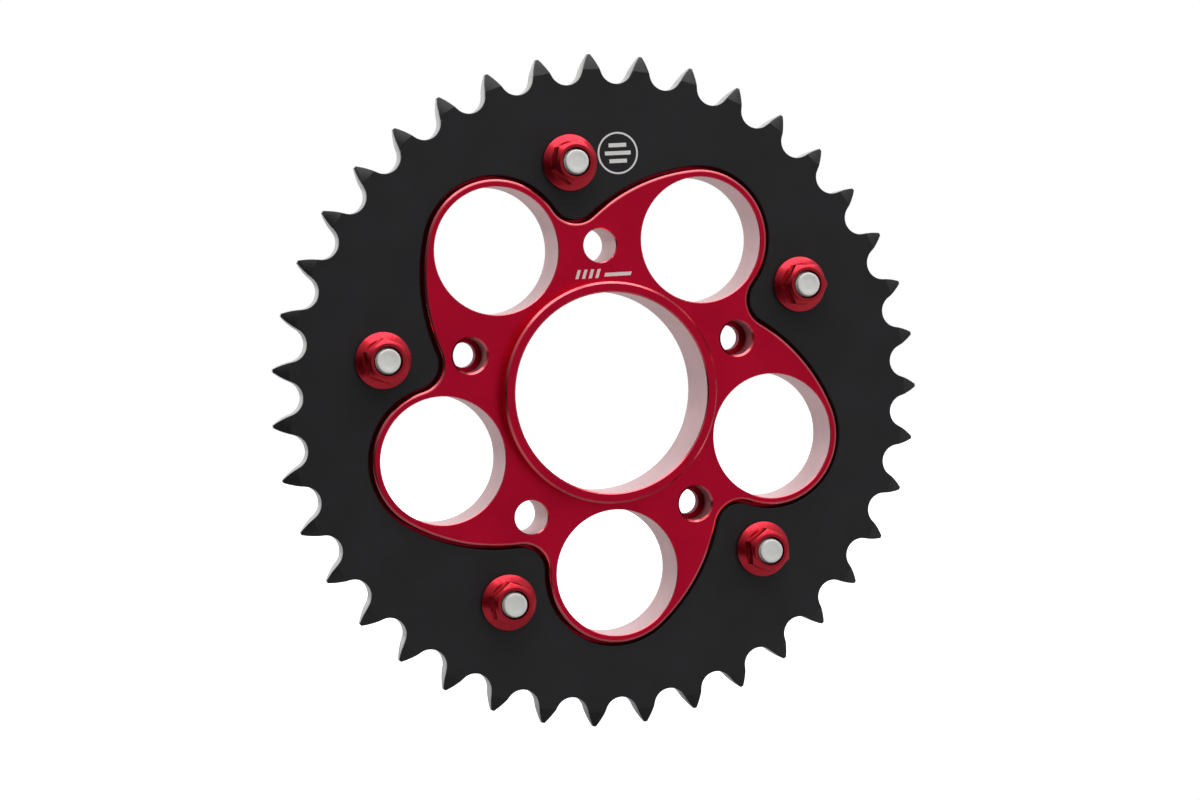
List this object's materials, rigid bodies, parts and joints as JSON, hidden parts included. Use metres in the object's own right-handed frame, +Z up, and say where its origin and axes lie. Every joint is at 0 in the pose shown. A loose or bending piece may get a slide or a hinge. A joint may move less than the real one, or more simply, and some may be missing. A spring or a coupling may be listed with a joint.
{
  "type": "rear sprocket",
  "caption": "Motorcycle rear sprocket: a toothed steel ring bolted by flanged nuts to a lobed anodised cush-drive carrier with a collared hub bore.",
  "frame": {"origin": "on the axle, at the chain line, which is the middle of the ring's thickness", "axes": "+Y along the axle from the nut side towards the hub, +Z up with a hub hole at twelve o'clock, +X to the right seen from the nut side"},
  "size_m": [0.2048, 0.0227, 0.2047],
  "materials": {
    "ring_black": "satin black hard anodising, bare metal on the tooth edges",
    "carrier_red": "satin red anodising, bare machined holes",
    "stud_steel": "bright zinc plate",
    "nut_red": "gloss red anodising"
  },
  "bodies": {
    "root": {"sprocket_ring": "ring_black", "carrier": "carrier_red", "stud_1": "stud_steel", "stud_2": "stud_steel", "stud_3": "stud_steel", "stud_4": "stud_steel", "stud_5": "stud_steel", "nut_1": "nut_red", "nut_2": "nut_red", "nut_3": "nut_red", "nut_4": "nut_red", "nut_5": "nut_red"}
  },
  "joints": []
}
